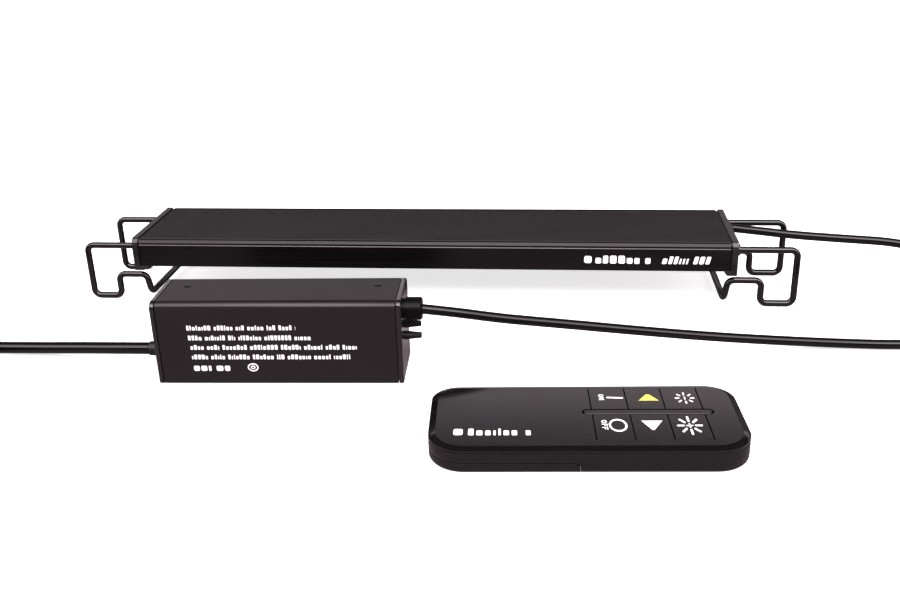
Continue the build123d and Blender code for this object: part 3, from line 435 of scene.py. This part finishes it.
class Print:
    """Ink shapes on a flat face. A shape is a closed outline of (u, v); a band has an inner outline too."""

    def __init__(self, unit, origin, u_axis, v_axis):
        self.unit, self.origin = unit, Vector(origin)
        self.u, self.v = Vector(u_axis), Vector(v_axis)
        self.out = self.u.cross(self.v)
        self.mesh = bmesh.new()

    def vert(self, u, v, height):
        return self.mesh.verts.new(self.unit @ (self.origin + self.u * u + self.v * v + self.out * height))

    def outline(self, points):
        low = [self.vert(u, v, -SINK) for u, v in points]
        high = [self.vert(u, v, PROUD) for u, v in points]
        self.mesh.faces.new(high)
        self.mesh.faces.new(low[::-1])
        for i in range(len(points)):
            j = (i + 1) % len(points)
            self.mesh.faces.new((low[i], low[j], high[j], high[i]))

    def band(self, outer, inner):
        rings = [[self.vert(u, v, h) for u, v in points]
                 for points, h in ((outer, -SINK), (outer, PROUD), (inner, PROUD), (inner, -SINK))]
        for i in range(len(outer)):
            j = (i + 1) % len(outer)
            for a, b in zip(rings, rings[1:] + rings[:1]):
                self.mesh.faces.new((a[i], a[j], b[j], b[i]))

    def ring(self, u, v, half_u, half_v, stroke_u, stroke_v, count=48):
        turns = [2 * math.pi * i / count for i in range(count)]
        in_u, in_v = half_u - stroke_u, half_v - stroke_v
        self.band([(u + half_u * math.cos(t), v + half_v * math.sin(t)) for t in turns],
                  [(u + in_u * math.cos(t), v + in_v * math.sin(t)) for t in turns])

    def bar(self, u0, v0, u1, v1, half, stretch=1.0):
        """A stroke with round ends. stretch widens everything in v."""
        start, end = Vector((u0, v0 / stretch)), Vector((u1, v1 / stretch))
        along = (end - start).normalized()
        side = Vector((-along.y, along.x))
        points = []
        for centre, first in ((end, -90), (start, 90)):
            for step in range(ROUND_END_STEPS + 1):
                angle = math.radians(first + 180 / ROUND_END_STEPS * step)
                p = centre + (along * math.cos(angle) + side * math.sin(angle)) * half
                points.append((p.x, p.y * stretch))
        self.outline(points)

    def block(self, u, v, wide, tall, lean=0.0):
        """A filled box with cut corners, which stands for a letter. lean is the slope of its sides."""
        cut = BLOCK_CUT * min(wide, tall)
        corners = ((cut, 0), (wide - cut, 0), (wide, cut), (wide, tall - cut), (wide - cut, tall),
                   (cut, tall), (0, tall - cut), (0, cut))
        self.outline([(u + x + lean * y, v + y) for x, y in corners])

    def dummy_text(self, u, v, length, tall, seed, weight, lean=0.0):
        """Words of plain blocks from u over a length. They look like text from afar and say nothing."""
        draw, at, left = random.Random(seed), u, 0
        while at < u + length - weight * tall:
            if left == 0:
                left = draw.randint(SHORTEST_WORD, LONGEST_WORD)
                at += WORD_GAP * tall if at > u else 0
            wide = tall * weight * draw.choice(BLOCK_WIDTHS)
            high = tall * draw.choice(BLOCK_HEIGHTS)
            self.block(at, v, min(wide, u + length - at), high, lean)
            at += wide + BLOCK_GAP * tall
            left -= 1

    def text(self, letters, u, v, tall, stretch):
        """Generic words. The line of text runs along -v, and the letters' tops point along u."""
        at = 0.0
        for letter in letters:
            shape = LETTERS.get(letter)
            if shape is None:
                half = ROUND_LETTER_HALF * tall
                stroke = LETTER_STROKE * tall
                self.ring(u + tall / 2, v - (at + half) * stretch, tall / 2, half * stretch, stroke,
                          stroke * stretch, ROUND_LETTER_POINTS)
                at += ROUND_LETTER_STEP * tall
            else:
                self.outline([(u + y * tall, v - (at + x * tall) * stretch) for x, y in shape])
                at += LETTER_STEP * tall

    def done(self, name, body, slot):
        bmesh.ops.recalc_face_normals(self.mesh, faces=self.mesh.faces)
        data = bpy.data.meshes.new(name)
        self.mesh.to_mesh(data)
        self.mesh.free()
        return piece(name, data, body, slot)


# The outlines of the letters in ON and OFF. O isn't among them, because it is drawn as a ring.
LETTERS = {
    "N": ((0, 0), (0.2, 0), (0.2, 0.64), (0.52, 0), (0.72, 0), (0.72, 1), (0.52, 1), (0.52, 0.36),
          (0.2, 1), (0, 1)),
    "F": ((0, 0), (0.2, 0), (0.2, 0.42), (0.6, 0.42), (0.6, 0.6), (0.2, 0.6), (0.2, 0.82), (0.68, 0.82),
          (0.68, 1), (0, 1)),
}
REMOTE_TOP = 10.2
DRIVER_FRONT = -15.2
LAMP_FRONT = -27.5
# Strokes and letters on the keys are stretched in v by these factors
RAY_STRETCH, WORD_STRETCH = 1.35, 1.3


def rays(ink, u, v, half_u, half_v, inner, half, count=8):
    """Short strokes round a middle, as a sign for light. inner is the share of the radius left empty."""
    for number in range(count):
        angle = 2 * math.pi * number / count
        cos, sin = math.cos(angle), math.sin(angle)
        ink.bar(u + half_u * inner * cos, v + half_v * inner * sin, u + half_u * cos, v + half_v * sin, half,
                RAY_STRETCH)


def sign_on(ink):
    ink.bar(9.5, 13.8, 15.2, 13.4, half=0.42, stretch=WORD_STRETCH)
    ink.text("ON", 6.2, 16.4, tall=2.0, stretch=WORD_STRETCH)


def sign_off(ink):
    ink.ring(11.35, -7.8, half_u=3.4, half_v=4.7, stroke_u=0.75, stroke_v=1.1)
    ink.text("OFF", 5.4, -3.9, tall=2.1, stretch=WORD_STRETCH)


def sign_warmer(ink):
    """An arrowhead that points to the back."""
    ink.outline([(21.3, 11.2), (29.0, 11.2), (25.9, 16.2), (24.7, 16.2)])


def sign_cooler(ink):
    """An arrowhead that points to the front."""
    ink.outline([(28.0, -4.5), (20.2, -4.5), (23.4, -11.3), (24.2, -11.3)])


def sign_dimmer(ink):
    """Small rays round a short stroke."""
    rays(ink, 39.2, 13.1, half_u=3.5, half_v=4.1, inner=0.66, half=0.32)
    ink.bar(39.2, 12.2, 39.2, 14.0, half=0.25, stretch=RAY_STRETCH)


def sign_brighter(ink):
    """Large rays round a plus."""
    rays(ink, 37.5, -8.15, half_u=4.3, half_v=6.2, inner=0.52, half=0.42)
    ink.bar(36.5, -8.15, 38.5, -8.15, half=0.28, stretch=RAY_STRETCH)
    ink.bar(37.5, -9.5, 37.5, -6.8, half=0.28, stretch=RAY_STRETCH)


def remote_mark(ink):
    ink.block(-49.3, -14.6, wide=3.4, tall=4.4)
    ink.dummy_text(-43.9, -14.8, length=24.0, tall=4.8, seed=5, weight=0.42)


REMOTE_PRINTS = (
    ("sign_on", sign_on, "key_on", "print_white"),
    ("sign_off", sign_off, "key_off", "print_white"),
    ("sign_warmer", sign_warmer, "key_warmer", "print_yellow"),
    ("sign_cooler", sign_cooler, "key_cooler", "print_white"),
    ("sign_dimmer", sign_dimmer, "key_dimmer", "print_white"),
    ("sign_brighter", sign_brighter, "key_brighter", "print_white"),
    ("remote_mark", remote_mark, "remote", "print_white"),
)


def print_remote():
    for name, draw, body, slot in REMOTE_PRINTS:
        ink = Print(REMOTE, (0, 0, REMOTE_TOP), (1, 0, 0), (0, 1, 0))
        draw(ink)
        ink.done(name, body, slot)


def print_driver_label():
    """Four lines of small dummy text, and a larger word with a sign of two rings beside it."""
    ink = Print(DRIVER, (0, DRIVER_FRONT, 0), (1, 0, 0), (0, 0, 1))
    lines = ((-38.0, 8.4, 25.2), (-37.8, 16.0, 20.6), (-37.3, 35.2, 16.2), (-37.2, 31.5, 11.7))
    for seed, (start, end, low) in enumerate(lines, start=20):
        ink.dummy_text(start, low, length=end - start, tall=2.2, seed=seed, weight=0.5)
    ink.dummy_text(-37.0, 6.2, length=17.2, tall=3.4, seed=31, weight=0.75)
    ink.ring(-11.3, 7.9, half_u=2.3, half_v=1.9, stroke_u=0.5, stroke_v=0.5)
    ink.ring(-11.3, 7.9, half_u=1.0, half_v=0.8, stroke_u=0.4, stroke_v=0.4, count=24)
    ink.done("driver_label", "lamp", "print_white")


def print_lamp_mark():
    ink = Print(LAMP, (0, LAMP_FRONT, 0), (1, 0, 0), (0, 0, 1))
    ink.block(77.0, 24.2, wide=3.6, tall=3.6)
    ink.dummy_text(82.4, 24.0, length=28.2, tall=4.1, seed=41, weight=0.68)
    ink.dummy_text(114.0, 24.0, length=25.2, tall=3.9, seed=44, weight=0.5, lean=0.22)
    ink.done("lamp_mark", "lamp", "print_white")


print_remote()
print_driver_label()
print_lamp_mark()

# ------------------------------------------------------------------ softened edges

# Widths of the rounded edges, and the nodes that get them
BEVELS = {
    0.1: ("housing_extrusion",),
    0.15: ("left_end_cap", "right_end_cap", "key_on", "key_off", "key_warmer", "key_cooler", "key_dimmer",
           "key_brighter"),
    0.2: ("driver_case", "driver_left_cap", "driver_right_cap", "remote_top_shell"),
    0.25: ("remote_bottom_shell", "remote_battery_cover"),
}
BEVEL_SEGMENTS = 2
# An edge that turns by less than this many degrees stays as it is
SMALLEST_TURN = 40
# In metres
SAME_POINT = 0.000001


def soften(node, width):
    """Round a node's sharp edges. Points in the same place are joined first, or faces would come apart."""
    weld = node.modifiers.new("weld", "WELD")
    weld.merge_threshold = SAME_POINT
    bevel = node.modifiers.new("bevel", "BEVEL")
    bevel.width, bevel.segments, bevel.limit_method = width * MM, BEVEL_SEGMENTS, "ANGLE"
    bevel.angle_limit, bevel.harden_normals = math.radians(SMALLEST_TURN), True


for bevel_width, node_names in BEVELS.items():
    for node_name in node_names:
        soften(NODES[node_name], bevel_width)

# ------------------------------------------------------------------ floor and light

# In metres. The floor lies a little low, so that it doesn't share a plane with the undersides of the units.
FLOOR_SIZE, FLOOR_HEIGHT = 14, -0.0001
FLOOR_GLOW = 0.7
FLOOR_GREYS = ((0.84, 0.84, 0.84), (0.88, 0.88, 0.88))
FLOOR_BOUNCE = (0.22, 0.2, 0.205)
FILL_STRENGTH, FILL_COLOUR = 1.2, (1, 0.97, 0.98)
FILL_SPREAD, FILL_TILT = 50, 40
SKY_TINT = (1.0, 0.87, 0.94)
SKY_STRENGTH = 9
# Pairs of an angle in degrees and the brightness there, which is at most SKY_STRENGTH
SKY = (
    (0, 0.2), (32, 0.18), (38, 7.5), (56, 7.5), (62, 3.6), (80, 3.6), (88, 0.12), (146, 0.07), (149.3, 0.34),
    (150.5, 0.47), (152.5, 1.0), (159, 1.0), (160.6, 0.2), (166, 0.12), (180, 0.1))


def make_floor():
    """A table that glows white to the camera and is darker to the object, so that dark things stay dark."""
    bpy.ops.mesh.primitive_plane_add(size=FLOOR_SIZE, location=(0, 0, FLOOR_HEIGHT))
    floor = bpy.context.object
    floor.name = "floor"
    n = Nodes("floor")
    seen = n.add("ShaderNodeLightPath").outputs["Is Camera Ray"]
    mottle = n.blend(n.remap(n.noise(scale=3, detail=2), 0, 1), *FLOOR_GREYS)
    tone = n.blend(seen, FLOOR_BOUNCE, mottle)
    glow = n.math("MULTIPLY", seen, FLOOR_GLOW)
    floor.data.materials.append(n.finish(colour=tone, rough=0.9, specular=0.0, emission=(1, 1, 1), glow=glow))


def make_sky():
    """A studio whose brightness follows the angle from the front horizon, over the top, to the back.

    The camera itself sees plain white behind the table.
    """
    world = bpy.data.worlds.new("studio")
    bpy.context.scene.world = world
    world.use_nodes = True
    sky = Tree(world.node_tree)
    coords = sky.add("ShaderNodeTexCoord").outputs["Generated"]
    split = sky.add("ShaderNodeSeparateXYZ", {"Vector": coords}).outputs
    forwards = sky.math("MULTIPLY", split["Y"], -1)
    angle = sky.math("ARCTAN2", split["Z"], forwards)
    share = sky.math("DIVIDE", angle, math.pi)
    ramp = sky.add("ShaderNodeValToRGB", {"Fac": share})
    steps = ramp.color_ramp.elements
    while len(steps) < len(SKY):
        steps.new(0.5)
    for step, (degrees, level) in zip(steps, SKY):
        step.position = degrees / 180
        step.color = solid(level / SKY_STRENGTH * tint for tint in SKY_TINT)
    seen = sky.add("ShaderNodeLightPath").outputs["Is Camera Ray"]
    white = (1 / SKY_STRENGTH, 1 / SKY_STRENGTH, 1 / SKY_STRENGTH)
    background = world.node_tree.nodes["Background"]
    background.inputs["Strength"].default_value = SKY_STRENGTH
    colour = sky.blend(seen, ramp.outputs["Color"], white)
    sky.tree.links.new(colour, background.inputs["Color"])


def make_fill():
    """A soft fill from above and in front."""
    data = bpy.data.lights.new("fill", "SUN")
    data.energy, data.angle, data.color = FILL_STRENGTH, math.radians(FILL_SPREAD), FILL_COLOUR
    light = bpy.data.objects.new("fill", data)
    light.rotation_euler = (math.radians(FILL_TILT), 0, 0)
    bpy.context.scene.collection.objects.link(light)


make_floor()
make_sky()
make_fill()
bpy.context.scene.view_settings.view_transform = "Standard"
